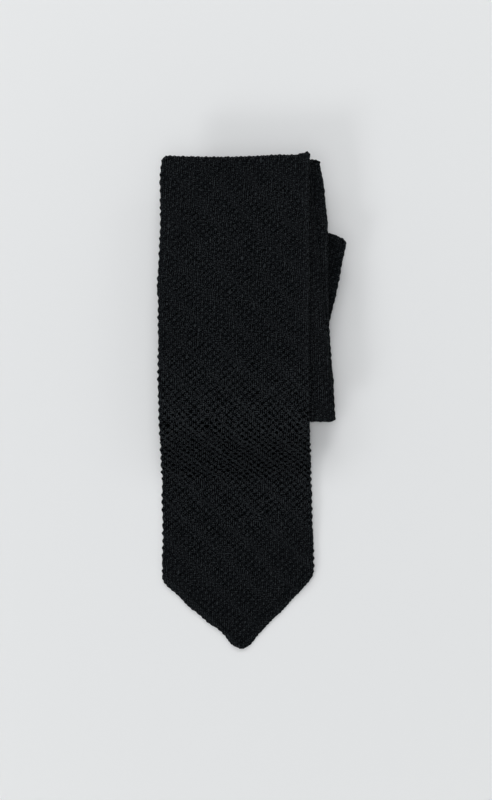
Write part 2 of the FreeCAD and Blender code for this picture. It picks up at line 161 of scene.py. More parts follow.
# plan outline of the front blade: (y, x)
LEFT = [(-140.9, -0.40), (-140.1, -2.22), (-139.3, -3.44), (-137.6, -4.69), (-136.0, -5.87), (-134.4, -7.40), (-132.8, -9.31),
        (-131.2, -12.00), (-129.5, -14.00), (-127.9, -15.78), (-126.3, -17.66), (-124.7, -19.91), (-123.1, -21.75), (-121.4, -23.23),
        (-119.8, -24.69), (-118.2, -26.43), (-116.6, -28.53), (-115.0, -30.11), (-113.3, -31.00), (-111.7, -31.36), (-109.3, -31.57),
        (-105.3, -31.73), (-97.2, -31.32), (-89.1, -31.49), (-81.0, -31.57), (-72.9, -31.42), (-68.7, -31.71), (-60.5, -31.86),
        (-52.4, -31.99), (-48.4, -32.33), (-40.5, -32.30), (-32.6, -32.74), (-20.7, -32.62), (-0.8, -32.70), (3.2, -33.06),
        (19.0, -32.30), (27.0, -31.79), (38.9, -31.79), (46.8, -31.87), (50.8, -31.55), (52.8, -31.15), (54.8, -30.67)]
RIGHT = [(-140.9, 1.22), (-140.1, 2.75), (-139.3, 3.73), (-137.6, 5.10), (-136.0, 6.27), (-134.4, 7.69), (-132.8, 9.23),
         (-131.2, 10.77), (-129.5, 12.43), (-127.9, 14.13), (-126.3, 15.85), (-124.7, 17.43), (-123.1, 18.90), (-121.4, 20.36),
         (-119.8, 21.82), (-118.2, 23.39), (-116.6, 24.97), (-115.0, 26.43), (-113.3, 27.82), (-111.7, 29.08), (-109.6, 29.75),
         (-105.3, 29.80), (-97.2, 29.60), (-89.1, 29.10), (-81.0, 28.90), (-68.7, 28.58), (-60.5, 28.20), (-52.4, 27.75),
         (-48.4, 27.66), (-0.8, 27.64), (38.9, 27.60), (52.8, 27.70), (54.8, 28.10)]
# right edges of the two layers that show behind the blade: (y, x)
EDGE_3 = [(-47.7, 37.9), (-44.5, 37.7), (-40.5, 37.5), (-32.5, 37.1), (-24.6, 36.4), (-16.6, 35.7), (-6.6, 35.2), (7.3, 35.0),
          (22.0, 35.1), (31.3, 34.7), (35.2, 34.3), (43.2, 33.5), (47.2, 32.8), (51.2, 32.0), (53.4, 31.8)]
EDGE_5 = [(-44.0, 28.3), (-20.0, 33.4), (-8.5, 35.9), (-0.5, 37.8), (7.5, 39.5), (15.5, 41.0), (21.5, 42.3), (23.5, 42.6)]


def table(t, y):
    ys, xs = np.array([a for a, b in t]), np.array([b for a, b in t])
    return np.interp(y, ys, xs)


# the cloth's edge lies a little outside the ring of stitches it is drawn with
def left_edge(y):
    return table(LEFT, y) - 0.38 * smooth(-110, -113, y) - 0.12 * smooth(-30, -38, y) * smooth(-90, -80, y)


def right_edge(y):
    return table(RIGHT, y) + 0.24 * smooth(-44, -50, y) + 0.58 * smooth(-111, -115, y)


def blade_profile(ds):
    """Centre line of the draped blade from its point to the first fold."""
    zb, phi, r1, r2, ys = 19.2, math.radians(42), 20.0, 15.0, -43.0
    mid = HALF
    ztop = zb + mid - r1
    ya = ys - r1 * math.sin(phi)
    za = ztop + r1 * math.cos(phi)
    z2 = mid + r2 - r2 * math.cos(phi)
    run = (za - z2) / math.tan(phi)
    yf = ya - run - r2 * math.sin(phi)
    tip = -141.15
    fold_y = FOLD[1]["c"][1]
    seg = [("flat", yf - tip), ("foot", r2 * phi), ("ramp", (za - z2) / math.sin(phi)), ("shoulder", r1 * phi), ("top", fold_y - ys)]
    total = sum(v for _, v in seg)
    s = np.linspace(0, total, int(round(total / ds)) + 1)
    y, z, a = np.zeros_like(s), np.zeros_like(s), np.zeros_like(s)
    s0 = 0.0
    for name, length in seg:
        mk = (s >= s0 - 1e-9) & (s <= s0 + length + 1e-9)
        q = s[mk] - s0
        if name == "flat":
            y[mk], z[mk], a[mk] = tip + q, mid, 0
        elif name == "foot":
            th = q / r2
            y[mk], z[mk], a[mk] = yf + r2 * np.sin(th), mid + r2 - r2 * np.cos(th), th
        elif name == "ramp":
            y[mk] = ya - run + q * math.cos(phi)
            z[mk] = z2 + q * math.sin(phi)
            a[mk] = phi
        elif name == "shoulder":
            th = phi - q / r1
            y[mk], z[mk], a[mk] = ys - r1 * np.sin(th), ztop + r1 * np.cos(th), th
        else:
            y[mk], z[mk], a[mk] = ys + q, zb + mid, 0
        s0 += length
    return s, y, z, a


def stations_blade(ds):
    s, y, z, a = blade_profile(ds)
    n = len(s)
    P = np.c_[np.zeros(n), y, z]
    U = np.tile([1.0, 0, 0], (n, 1))
    N = np.c_[np.zeros(n), -np.sin(a), np.cos(a)]
    wob = lambda seed, pitch: np.cos(2 * np.pi * (y / pitch + 0.25 * noise(y * 0.3, 0 * y, seed))) * (0.7 + 0.5 * noise(y * 0.5, 0 * y, seed + 1))
    hem = smooth(-111, -114, y) * smooth(-140, -137, y)
    side = 1 - smooth(-109, -112, y)
    loops = lambda seed, pitch: np.cos(2 * np.pi * (y / pitch + 0.16 * noise(y * 0.2, 0 * y, seed))) * (0.85 + 0.35 * noise(y * 0.5, 0 * y, seed + 1))
    ease = smooth(s[-1] - 3.2, s[-1], s)
    xl = left_edge(y) + 0.45 * ease + 0.22 * hem * wob(60, 1.6) + (0.19 + 0.05 * smooth(-50, -60, y)) * side * loops(66, 3.1)
    xr = right_edge(y) + 0.15 * hem * wob(63, 1.15) + 0.17 * side * loops(69, 2.9) * smooth(-44, -50, y)
    return {"s": s, "P": P, "U": U, "N": N, "xl": xl, "xr": xr, "lat": np.zeros(n),
            "fi": np.zeros(n), "bi": np.zeros(n), "k": 1}


def stations_bend(j, s0, n):
    """Bend of fold j from the upper layer to the lower one."""
    f = FOLD[j]
    ang = np.linspace(math.pi / 2, -math.pi / 2, n)
    c, sn = np.cos(ang), np.sin(ang)
    P = f["c"][None] + f["out"][None] * (f["r"] * c)[:, None] + np.array([0, 0, 1.0])[None] * (f["m"] + f["r"] * sn)[:, None]
    outer = f["out"][None] * c[:, None] + np.array([0, 0, 1.0])[None] * sn[:, None]
    face_out = j % 2 == 1
    N = outer if face_out else -outer
    U = np.tile(f["u"], (n, 1))
    inset = 1.3 * c ** 2
    hw = f["w"] / 2
    inner = np.ones(n) * smooth(0, 0.3, c)
    return {"s": s0 + (math.pi / 2 - ang) * f["r"], "P": P, "U": U, "N": N, "xl": -hw + inset, "xr": hw - inset,
            "lat": np.full(n, X_OFF), "fi": inner * (0 if face_out else 1), "bi": inner * (1 if face_out else 0), "k": -j, "ang": ang}


def stations_panel(k, s0, ds):
    a, b = FOLD[k - 1], (FOLD[k] if k < 13 else None)
    ca = a["c"]
    if b is None:
        cb = np.array([0.0, 48.9, 0.0])
        ub, wb = np.array([1.0, 0, 0]), 45.0
    else:
        cb, ub, wb = b["c"], b["u"], b["w"]
    length = np.linalg.norm(cb - ca)
    n = int(round(length / ds)) + 1
    q = np.linspace(0, 1, n)
    P = ca[None] * (1 - q)[:, None] + cb[None] * q[:, None]
    P[:, 2] = layer_z(k) + HALF
    U = a["u"][None] * (1 - q)[:, None] + ub[None] * q[:, None]
    U /= np.linalg.norm(U, axis=1)[:, None]
    N = np.tile([0, 0, 1.0 if k % 2 else -1.0], (n, 1))
    hw = (a["w"] * (1 - q) + wb * q) / 2
    xl, xr = -hw, hw.copy()
    if k == 13:
        y = P[:, 1]
        drop = 22.5 - (y - 30.0) * (20.0 / 18.9)
        hw = np.minimum(hw, np.maximum(drop, 0.9))
        xl, xr = -hw, hw.copy()
    wob = 0.35 * np.sin(math.pi * q) * noise(q * length * 0.09, np.full(n, k * 3.7), k)
    xl = xl + wob
    xr = xr + wob * 0.6
    if k in (3, 5):
        # the edges that show beside the blade
        t = EDGE_3 if k == 3 else EDGE_5
        for _ in range(4):
            y = P[:, 1] + U[:, 1] * xr
            want = table(t, y) + 0.33
            xr = (want - P[:, 0]) / U[:, 0]
    if k == 2:
        y = P[:, 1]
        xr = np.minimum(xr, (table(EDGE_3, y) - 0.45 - P[:, 0]) / U[:, 0])
    z = np.zeros(n)
    return {"s": s0 + q * length, "P": P, "U": U, "N": N, "xl": xl, "xr": xr, "lat": np.full(n, X_OFF), "fi": z, "bi": z.copy(), "k": k}


# ------------------------------------------------------------- mesh of a tube
def lattice(x, s, k):
    """Stitch column and row numbers at lateral x and length s."""
    up = smooth(60, 190, s) if k in (1, -1) else np.ones_like(s)
    tilt_w = math.tan(math.radians(2.0)) * up
    tilt_c = math.tan(math.radians(4.2)) * up
    pc = COURSE
    i = x / WALE - tilt_w * (s - 190) / WALE
    j = s / pc + tilt_c * x / pc - 0.13
    return i, j


HEM_L = ((-31.0, -113.9), (-4.4, -138.2))
HEM_R = ((29.8, -111.2), (5.6, -137.0))


def edge_distance(x, y, line):
    (x0, y0), (x1, y1) = line
    dx, dy = x1 - x0, y1 - y0
    n = math.hypot(dx, dy)
    return np.abs((x - x0) * dy - (y - y0) * dx) / n


def openness(s, k):
    """How open the stitch looks: tight at the top fold, open over the shoulder."""
    if k in (1, -1):
        return 0.12 + 0.33 * smooth(215, 190, s) + 0.36 * smooth(136, 96, s) * smooth(30, 80, s) + 0.42 * smooth(106, 92, s) * smooth(64, 76, s)
    return 0.40 + 0 * s


def relief(x, s, k, back, rib_gain):
    """Offset from the slab's surface, tone, stitch numbers and openness."""
    o = openness(s, k)
    if back:
        i, j = lattice_jitter(*lattice(-x + 11.0, s, k), 31)
        h, tone = stitches(i, j, 0.25, 0.0, o)
    else:
        i, j = lattice_jitter(*lattice(x, s, k))
        on = 1.0
        if k in (1, -1):
            on = 0.60 + 1.15 * smooth(130, 104, s) * smooth(60, 85, s) + 0.33 * smooth(85, 60, s) + 0.15 * noise(i * 0.2, j * 0.2, 77)
        h, tone = stitches(i, j, rib_gain, on, o)
        if k in (1, -1):
            t = (i + j) / 10.0
            d = np.abs(t - np.round(t)) * 10.0
            more = (-0.6 * smooth(130, 104, s) * smooth(88, 100, s) + 1.7 * smooth(104, 92, s) * smooth(62, 74, s)
                    + 0.2 * smooth(74, 62, s) * smooth(40, 52, s) + 0.15 * smooth(85, 60, s) + 0.2 * smooth(115, 125, s) * smooth(150, 140, s))
            tone = tone + 0.078 * (np.exp(-(d / 1.4) ** 2) - 0.3) * more
    return h, tone, o, i, j


def tube(st, nf, nb, m=6, top_extra=0.0, knit=1.0, seam=None, pocket=None, close=(False, False)):
    """Closed tube through the stations: face, right side, back, left side."""
    s, P, U, N = st["s"], st["P"], st["U"], st["N"]
    n = len(s)
    k = st["k"]
    xl, xr = st["xl"][:, None], st["xr"][:, None]
    rho = np.minimum(HALF, 0.45 * (xr - xl))
    ef = np.linspace(0, 1, nf)[None]
    eb = np.linspace(1, 0, nb)[None]
    xf = xl + rho + (xr - xl - 2 * rho) * ef
    xb = xl + rho + (xr - xl - 2 * rho) * eb
    beta = np.linspace(math.pi / 2, -math.pi / 2, m + 2)[1:-1][None]
    S = s[:, None]
    y_f = P[:, 1:2] + xf * U[:, 1:2]
    y_b = P[:, 1:2] + xb * U[:, 1:2]
    lat = st["lat"][:, None]
    if k in (1, -1):
        near = smooth(168, 214, S)
        rib = 0.30 + 0.55 * near
    else:
        rib = 0.35 + 0 * S
    hf, tf, of, i_f, j_f = relief(xf + lat, S + 0 * xf, k, False, rib)
    hb, tb, ob, i_b, j_b = relief(xb + lat, S + 0 * xb, k, True, rib)
    if k in (5, -4, -5):
        tf = tf - 0.09 * smooth(27, 33, P[:, 0:1] + xf * U[:, 0:1])
    # painted shade: the strip of this layer beside the blade's right edge is darkened, a painted contact shadow under
    # the blade
    if k in (3, -2, -3):
        tf = tf - 0.07 * smooth(26, 27, P[:, 0:1] + xf * U[:, 0:1]) * smooth(34.5, 31, P[:, 0:1] + xf * U[:, 0:1])
    fi, bi = st["fi"][:, None], st["bi"][:, None]
    # sides: face stitches run on round the edge, where the selvage is a little fuller;
    # the face near the edges and the sides are painted lighter, a painted highlight
    arc = (math.pi / 2 - beta) * rho
    x_r, x_l = xr - rho + arc, xl + rho - arc
    hr, tr, orr, i_r, j_r = relief(x_r + lat, S + 0 * x_r, k, False, rib)
    hl, tl, ol, i_l, j_l = relief(x_l + lat, S + 0 * x_l, k, False, rib)
    hr, hl = hr * 1.15 + 0.12, hl * 1.15 + 0.12
    edge = np.maximum(smooth(1.9, 0.4, xf - xl), smooth(1.9, 0.4, xr - xf))
    tf = tf + 0.10 * edge
    if k in (1, -1):
        # painted highlight: a light stripe along the blade's right edge above the drape, and a faint one along its left
        # edge
        tf = tf + 0.09 * smooth(2.6, 1.9, xr - xf) * smooth(-49, -44, P[:, 1:2] + 0 * xf) + 0.02 * smooth(8, 1, xf - xl)
        # painted light: the blade is painted lighter over its drape from the stack down to the table, offsetting the
        # shade on the slope, and a little darker towards the flat point
        tf = tf + 0.05 * smooth(62, 80, S) * smooth(106, 88, S) - 0.02 * smooth(66, 50, S)
    if k in (5, -4, -5):
        tf = tf - 0.02
    tr, tl = tr + 0.10, tl + 0.10
    if k == 1 or k == -1:
        hem = 0
        if k == 1:
            for line, gain in ((HEM_L, 1.0), (HEM_R, 0.75)):
                d = edge_distance(xf, y_f, line)
                low = smooth(-96, -104, y_f)
                # painted highlight on the hem's ridge and painted shade in the groove beside it, following the ridge
                # and groove of the relief
                tf = tf + gain * low * (0.05 * smooth(2.2, 1.4, d) - 0.09 * np.exp(-((d - 3.0) / 0.5) ** 2))
                hem = hem + gain * low * (0.20 * smooth(3.1, 2.4, d) - 0.22 * np.exp(-((d - 3.0) / 0.35) ** 2))
        hf = hf * (1 - 0.25 * (hem > 0.1)) + hem
        # the blade's cloth lies a little unevenly
        wave = 0.22 * noise(xf * 0.055, S * 0.035, 41) + 0.10 * noise(xf * 0.14, S * 0.12, 42)
        hf = hf + wave * smooth(0, 6, xf - xl) * smooth(0, 6, xr - xf)
    hf = hf * (1 - 0.85 * fi) + top_extra
    hb = hb * (1 - 0.85 * bi)
    if seam is not None:
        xs, s_a, s_b = seam
        groove = np.exp(-((xb - xs) / 0.55) ** 4) * smooth(s_a - 0.5, s_a + 0.5, S) * smooth(s_b + 0.5, s_b - 0.5, S)
        hb = hb * (1 - groove) - 0.46 * groove
    if pocket is not None:
        hb = hb * (1 - pocket(xb, y_b)) - 0.44 * pocket(xb, y_b)
    # never so deep that the lining inside would show through the stitches
    of_face = np.maximum(HALF + hf * knit, 0.24)
    of_back = np.maximum(HALF + hb * knit, 0.22)
    # the inside of a tight bend has no room for relief
    of_face = of_face * (1 - fi) + np.minimum(of_face, 0.62) * fi
    of_back = of_back * (1 - bi) + np.minimum(of_back, 0.62) * bi
    side = (HALF + hr * knit, HALF + hl * knit)
    if st.get("thin") is not None:
        th = st["thin"][:, None]
        of_face, of_back, side = of_face * th, of_back * th, (side[0] * th, side[1] * th)
    vf = P[:, None] + U[:, None] * xf[..., None] + N[:, None] * of_face[..., None]
    vb = P[:, None] + U[:, None] * xb[..., None] - N[:, None] * of_back[..., None]
    kr = rho / HALF
    vr = (P[:, None] + U[:, None] * (xr - rho + kr * side[0] * np.cos(beta))[..., None] + N[:, None] * (side[0] * np.sin(beta))[..., None])
    bl = beta[:, ::-1]
    hl2 = side[1][:, ::-1]
    vl = (P[:, None] + U[:, None] * (xl + rho - kr * hl2 * np.cos(bl))[..., None] + N[:, None] * (hl2 * np.sin(bl))[..., None])
    V = np.concatenate([vf, vr, vb, vl], 1)
    tone = np.concatenate([tf, tr, tb, tl[:, ::-1]], 1)
    hole = np.concatenate([of, orr, ob, ol[:, ::-1]], 1)
    ii = np.concatenate([i_f, i_r, i_b, i_l[:, ::-1]], 1)
    jj = np.concatenate([j_f, j_r, j_b, j_l[:, ::-1]], 1)
    return {"V": V, "tone": tone, "hole": hole, "i": ii, "j": jj, "nf": nf, "nb": nb, "m": m}


def ring_faces(n, c):
    a = np.arange(n - 1)[:, None] * c
    b = np.arange(c)[None]
    b2 = (b + 1) % c
    return np.stack([a + b, a + b2, a + c + b2, a + c + b], -1).reshape(-1, 4)


def cap(ring, flip):
    """Triangles that close a ring of vertex numbers by zig-zag between its two
    long sides."""
    tris = []
    # advance along both chains in proportion to their lengths
    chain_a = ring[: ring_split(ring)]
    chain_b = ring[ring_split(ring):][::-1]
    na, nb_ = len(chain_a), len(chain_b)
    ia = ib = 0
    while ia < na - 1 or ib < nb_ - 1:
        if ib >= nb_ - 1 or (ia < na - 1 and (ia + 1) / (na - 1) <= (ib + 1) / (nb_ - 1)):
            tris.append((chain_a[ia], chain_b[ib], chain_a[ia + 1]) if not flip else (chain_a[ia], chain_a[ia + 1], chain_b[ib]))
            ia += 1
        else:
            tris.append((chain_a[ia], chain_b[ib], chain_b[ib + 1]) if not flip else (chain_a[ia], chain_b[ib + 1], chain_b[ib]))
            ib += 1
    return tris


SPLIT = {"v": 0}


def ring_split(ring):
    return SPLIT["v"]


def mesh_object(name, V, quads, tris, attrs, material, smooth_on=True):
    me = bpy.data.meshes.new(name)
    nv = len(V)
    quads = np.asarray(quads, np.int32).reshape(-1, 4)
    tris = np.asarray(tris, np.int32).reshape(-1, 3) if len(tris) else np.zeros((0, 3), np.int32)
    me.vertices.add(nv)
    me.vertices.foreach_set("co", (V * MM).astype(np.float32).ravel())
    nl = quads.size + tris.size
    me.loops.add(nl)
    me.loops.foreach_set("vertex_index", np.concatenate([quads.ravel(), tris.ravel()]))
    npoly = len(quads) + len(tris)
    me.polygons.add(npoly)
    starts = np.concatenate([np.arange(len(quads)) * 4, quads.size + np.arange(len(tris)) * 3]).astype(np.int32)
    totals = np.concatenate([np.full(len(quads), 4), np.full(len(tris), 3)]).astype(np.int32)
    me.polygons.foreach_set("loop_start", starts)
    me.polygons.foreach_set("loop_total", totals)
    me.polygons.foreach_set("use_smooth", np.full(npoly, smooth_on))
    me.update(calc_edges=True)
    for key, val in (attrs or {}).items():
        val = np.asarray(val, np.float32)
        if val.ndim == 2:
            at = me.attributes.new(key, "FLOAT_VECTOR", "POINT")
            at.data.foreach_set("vector", val.ravel())
        else:
            at = me.attributes.new(key, "FLOAT", "POINT")
            at.data.foreach_set("value", val.ravel())
    me.validate()
    ob = bpy.data.objects.new(name, me)
    bpy.context.scene.collection.objects.link(ob)
    if material is not None:
        me.materials.append(material)
    return ob


def tube_object(name, tb, material, rows=None, extra=None):
    """Mesh object from rows of a tube, both ends capped."""
    V, n, c = tb["V"], tb["V"].shape[0], tb["V"].shape[1]
    a, b = rows if rows else (0, n - 1)
    V = V[a:b + 1]
    n = b - a + 1
    quads = ring_faces(n, c)
    SPLIT["v"] = tb["nf"] + tb["m"] // 2
    ring0 = list(range(c))
    # rotate so that the first chain is the face with half of each side
    shift = tb["m"] // 2
    ring0 = ring0[-shift:] + ring0[:-shift] if shift else ring0
    SPLIT["v"] = tb["nf"] + 2 * shift if tb["m"] % 2 == 0 else tb["nf"] + 2 * shift
    ringn = [(n - 1) * c + q for q in ring0]
    tris = cap(ring0, True) + cap(ringn, False)
    attrs = {"tone": tb["tone"][a:b + 1].ravel(),
             "weave": np.stack([tb["i"][a:b + 1].ravel(), tb["j"][a:b + 1].ravel(), tb["hole"][a:b + 1].ravel()], 1)}
    return mesh_object(name, V.reshape(-1, 3), quads, tris, attrs, material)


# ------------------------------------------------------------------ materials
# the second number sets the painted shade in the stitch holes
BASE_TONE, HOLE_SHADE_GAIN, FINE_GAIN = 0.42, 0.35, 0.30
K_A, K_C, K_CO, K_W, K_R, K_W2, K_R2, K_G, K_D = 0.08, 0.00, 0.09, 0.12, 0.12, 0.65, 0.47, 0.38, 0.76


def new_material(name):
    m = bpy.data.materials.new(name)
    m.use_nodes = True
    nt = m.node_tree
    nt.nodes.clear()
    out = nt.nodes.new("ShaderNodeOutputMaterial")
    b = nt.nodes.new("ShaderNodeBsdfPrincipled")
    nt.links.new(b.outputs[0], out.inputs[0])
    return m, nt, b


def node(nt, kind, **props):
    nd = nt.nodes.new(kind)
    for key, v in props.items():
        setattr(nd, key, v)
    return nd


def math_node(nt, op, a, b=None, c=None):
    nd = nt.nodes.new("ShaderNodeMath")
    nd.operation = op
    for q, v in enumerate((a, b, c)):
        if v is None:
            continue
        if isinstance(v, (int, float)):
            nd.inputs[q].default_value = v
        else:
            nt.links.new(v, nd.inputs[q])
    return nd.outputs[0]


def ramp(nt, fac, stops):
    nd = nt.nodes.new("ShaderNodeValToRGB")
    el = nd.color_ramp.elements
    while len(el) < len(stops):
        el.new(0.5)
    for e, (p, c) in zip(el, stops):
        e.position = p
        e.color = (*c, 1)
    nt.links.new(fac, nd.inputs[0])
    return nd.outputs[0]


def yarn_material(name, dark, mid, light, spec=0.16, sheen=0.03, rough=(0.60, 0.42), knit=True):
    """Yarn. On knitted cloth the attribute "weave" carries the stitch column and
    row, and the dashes of yarn, the holes and their variation are worked out
    from it; on plain threads it carries the length along the thread."""
    m, nt, b = new_material(name)
    link = nt.links.new
    mul = lambda p, q: math_node(nt, "MULTIPLY", p, q)
    add = lambda p, q: math_node(nt, "ADD", p, q)
    sub = lambda p, q: math_node(nt, "SUBTRACT", p, q)
    sq = lambda p: math_node(nt, "MULTIPLY", p, p)
    tone = node(nt, "ShaderNodeAttribute", attribute_name="tone").outputs["Fac"]
    weave = node(nt, "ShaderNodeAttribute", attribute_name="weave").outputs["Vector"]
    geo = node(nt, "ShaderNodeTexCoord").outputs["Object"]
    sep = node(nt, "ShaderNodeSeparateXYZ")
    link(weave, sep.inputs[0])
    big = node(nt, "ShaderNodeTexNoise")
    big.inputs["Scale"].default_value = 60.0
    big.inputs["Detail"].default_value = 2.0
    link(geo, big.inputs["Vector"])
    fine = node(nt, "ShaderNodeTexNoise")
    fine.inputs["Scale"].default_value = 2300.0
    fine.inputs["Detail"].default_value = 2.0
    link(geo, fine.inputs["Vector"])
    i, j = sep.outputs[0], sep.outputs[1]
    # strands lie at a slant across the stitch
    strand = math_node(nt, "SINE", add(mul(i, 19.0), mul(j, 11.0)))
    if knit:
        a = mul(add(i, j), 0.5)
        t = mul(a, 0.2)
        saw = sub(math_node(nt, "FRACT", t), 0.5)
        c = sub(mul(sub(i, j), 0.5), mul(saw, 0.5))
        wale, course = add(a, c), sub(a, c)
        open_at = sep.outputs[2]

        def wave(x, turns=1.0, phase=0.0):
            return math_node(nt, "COSINE", add(mul(x, 6.28318 * turns), phase))

        def white(x, y, salt):
            comb = node(nt, "ShaderNodeCombineXYZ")
            link(x, comb.inputs[0])
            link(y, comb.inputs[1])
            comb.inputs[2].default_value = salt
            wn = node(nt, "ShaderNodeTexWhiteNoise", noise_dimensions="3D")
            link(comb.outputs[0], wn.inputs["Vector"])
            cs = node(nt, "ShaderNodeSeparateColor")
            link(wn.outputs["Color"], cs.inputs[0])
            return cs.outputs[0], cs.outputs[1], cs.outputs[2]

        def floor_(x):
            return math_node(nt, "FLOOR", x)

        # every stitch differs a little from its neighbours
        r1, r2, r3 = white(floor_(add(a, 0.5)), floor_(add(c, 0.5)), 1.0)
        r4, r5, r6 = white(floor_(add(wale, 0.5)), floor_(add(course, 0.5)), 2.0)
        g1, g2, g3 = white(floor_(mul(wale, 4.0)), floor_(mul(course, 3.4)), 3.0)
        r7, r8, r9 = white(floor_(add(wale, 0.5)), floor_(add(course, 0.5)), 4.0)
        ca, cb, cw, cc = wave(a), wave(c), wave(wale), wave(course)
        hole = mul(math_node(nt, "MAXIMUM", mul(ca, -1.0), 0.0), math_node(nt, "MAXIMUM", mul(cb, -1.0), 0.0))
        ho = mul(mul(hole, add(0.3, mul(r2, 1.4))), add(0.25, mul(open_at, 0.75)))
        # the cloth is closer and flatter on the raised lines between the bands
        near = math_node(nt, "POWER", math_node(nt, "ABSOLUTE", mul(saw, 2.0)), 3.0)
        ho = mul(ho, sub(1.12, mul(near, 0.55)))
        wide = math_node(nt, "MAXIMUM", sub(open_at, 0.45), 0.0)
        crisp = add(1.0, mul(wide, 1.5))
        v = 0.0
        v = add(v, mul(mul(cb, add(0.8, mul(r1, 0.4))), K_A))
        v = add(v, mul(mul(ca, add(0.8, mul(r2, 0.4))), add(K_C, mul(sq(open_at), K_CO))))
        v = add(v, mul(mul(cw, add(0.8, mul(r4, 0.4))), K_W))
        v = add(v, mul(mul(cc, add(0.8, mul(r5, 0.4))), K_R))
        v = add(v, mul(mul(mul(wave(wale, 2.0), sub(r6, 0.30)), crisp), K_W2))
        v = add(v, mul(mul(mul(wave(course, 2.0), sub(r3, 0.35)), crisp), K_R2))
        v = add(v, mul(mul(mul(mul(cw, cc), sub(r7, 0.45)), crisp), K_D))
        v = add(v, mul(mul(mul(mul(wave(wale, 2.0, 1.2), cc), sub(r8, 0.5)), crisp), K_D))
        v = add(v, mul(mul(mul(mul(wave(course, 2.0, 1.2), cw), sub(r9, 0.5)), crisp), K_D))
        # painted shade: the holes between the stitches are darkened, more where the stitches are wide open
        v = sub(v, mul(ho, add(HOLE_SHADE_GAIN, mul(wide, 1.9))))
        v = add(v, mul(sub(g1, 0.5), mul(add(1.0, mul(wide, 2.6)), K_G)))
        # painted highlight: a few stitches are given a much lighter colour, painted glints of the yarn
        v = add(v, mul(math_node(nt, "POWER", r4, 70.0), mul(math_node(nt, "MAXIMUM", cw, 0.0), 0.8)))
        v = add(v, mul(sub(fine.outputs["Fac"], 0.5), FINE_GAIN))
        gain = math_node(nt, "MINIMUM", math_node(nt, "MAXIMUM", sub(mul(tone, 2.8), 0.4), 0.25), 1.05)
        v = mul(v, sub(1.07, mul(near, add(0.27, mul(wide, 0.45)))))
        v = add(mul(v, mul(gain, add(1.0, mul(sq(wide), 1.6)))), add(mul(tone, BASE_TONE * 2), mul(wide, 0.07)))
        height = add(add(mul(cw, 0.5), mul(g1, 1.4)), sub(mul(cb, 0.5), mul(ho, 1.6)))
        open_ = math_node(nt, "MAXIMUM", sub(1.0, mul(ho, 0.9)), 0.0)
    else:
        v = add(mul(tone, 1.0), mul(strand, 0.15))
        v = add(v, mul(sub(fine.outputs["Fac"], 0.5), 0.4))
        height = add(mul(strand, 0.8), fine.outputs["Fac"])
        open_ = None
    link(ramp(nt, v, [(0.0, dark), (0.5, mid), (1.0, light)]), b.inputs["Base Color"])
    r = sub(rough[0], mul(v, rough[0] - rough[1]))
    link(r, b.inputs["Roughness"])
    if open_ is None:
        b.inputs["Specular IOR Level"].default_value = spec
        b.inputs["Sheen Weight"].default_value = sheen
    else:
        shine = mul(open_, math_node(nt, "MINIMUM", math_node(nt, "MAXIMUM", mul(v, 1.4), 0.05), 1.3))
        link(mul(shine, spec), b.inputs["Specular IOR Level"])
        link(mul(shine, sheen), b.inputs["Sheen Weight"])
    b.inputs["Sheen Roughness"].default_value = 0.45
    b.inputs["Sheen Tint"].default_value = (0.80, 0.90, 1.0, 1)
    bump = node(nt, "ShaderNodeBump")
    bump.inputs["Strength"].default_value = 0.6
    bump.inputs["Distance"].default_value = 0.00014
    link(height, bump.inputs["Height"])
    link(bump.outputs[0], b.inputs["Normal"])
    return m


def cloth_material(name, base, other, scale, spec=0.2, sheen=0.2, rough=0.7, satin=False):
    """Fine plain or satin weave from crossed waves."""
    m, nt, b = new_material(name)
    geo = node(nt, "ShaderNodeTexCoord").outputs["Object"]
    sep = node(nt, "ShaderNodeSeparateXYZ")
    nt.links.new(geo, sep.inputs[0])
    wx = math_node(nt, "SINE", math_node(nt, "MULTIPLY", sep.outputs[0], scale))
    wy = math_node(nt, "SINE", math_node(nt, "MULTIPLY", sep.outputs[1], scale * (0.5 if satin else 1.0)))
    w = math_node(nt, "MULTIPLY", wx, wy)
    nz = node(nt, "ShaderNodeTexNoise")
    nz.inputs["Scale"].default_value = 180.0
    nz.inputs["Detail"].default_value = 3.0
    nt.links.new(geo, nz.inputs["Vector"])
    f = math_node(nt, "ADD", math_node(nt, "MULTIPLY", w, 0.25), nz.outputs["Fac"])
    nt.links.new(ramp(nt, f, [(0.2, other), (0.8, base)]), b.inputs["Base Color"])
    b.inputs["Roughness"].default_value = rough
    b.inputs["Specular IOR Level"].default_value = spec
    b.inputs["Sheen Weight"].default_value = sheen
    bump = node(nt, "ShaderNodeBump")
    bump.inputs["Strength"].default_value = 0.5
    bump.inputs["Distance"].default_value = 0.00008
    nt.links.new(w, bump.inputs["Height"])
    nt.links.new(bump.outputs[0], b.inputs["Normal"])
    return m


KNIT = yarn_material("knit_black", (0.0003, 0.0004, 0.0006), (0.0044, 0.0056, 0.0066), (0.0190, 0.0220, 0.0245), spec=0.045, sheen=0.008)
LOOPM = yarn_material("loop_knit", (0.0012, 0.0014, 0.0016), (0.0060, 0.0068, 0.0075), (0.0130, 0.0145, 0.0160), spec=0.10, knit=False)
THREAD = yarn_material("seam_thread", (0.002, 0.002, 0.0025), (0.006, 0.006, 0.007), (0.016, 0.016, 0.018), spec=0.3, knit=False)
LINING = cloth_material("interlining_weave", (0.035, 0.035, 0.037), (0.018, 0.018, 0.020), 9000.0)
TIPPING = cloth_material("tipping_satin", (0.010, 0.011, 0.014), (0.006, 0.006, 0.008), 12000.0, spec=0.5, rough=0.35, satin=True)
LABEL = cloth_material("label_taffeta", (0.30, 0.29, 0.26), (0.22, 0.21, 0.19), 14000.0, spec=0.3, rough=0.5, satin=True)
TAB = cloth_material("care_tab_satin", (0.62, 0.61, 0.58), (0.52, 0.51, 0.48), 14000.0, spec=0.3, rough=0.45, satin=True)

# ------------------------------------------------------------ build the tie
pieces = []
SEAM_X = {k: 6.0 for k in range(2, 14)}
SEAM_X[1] = 4.2


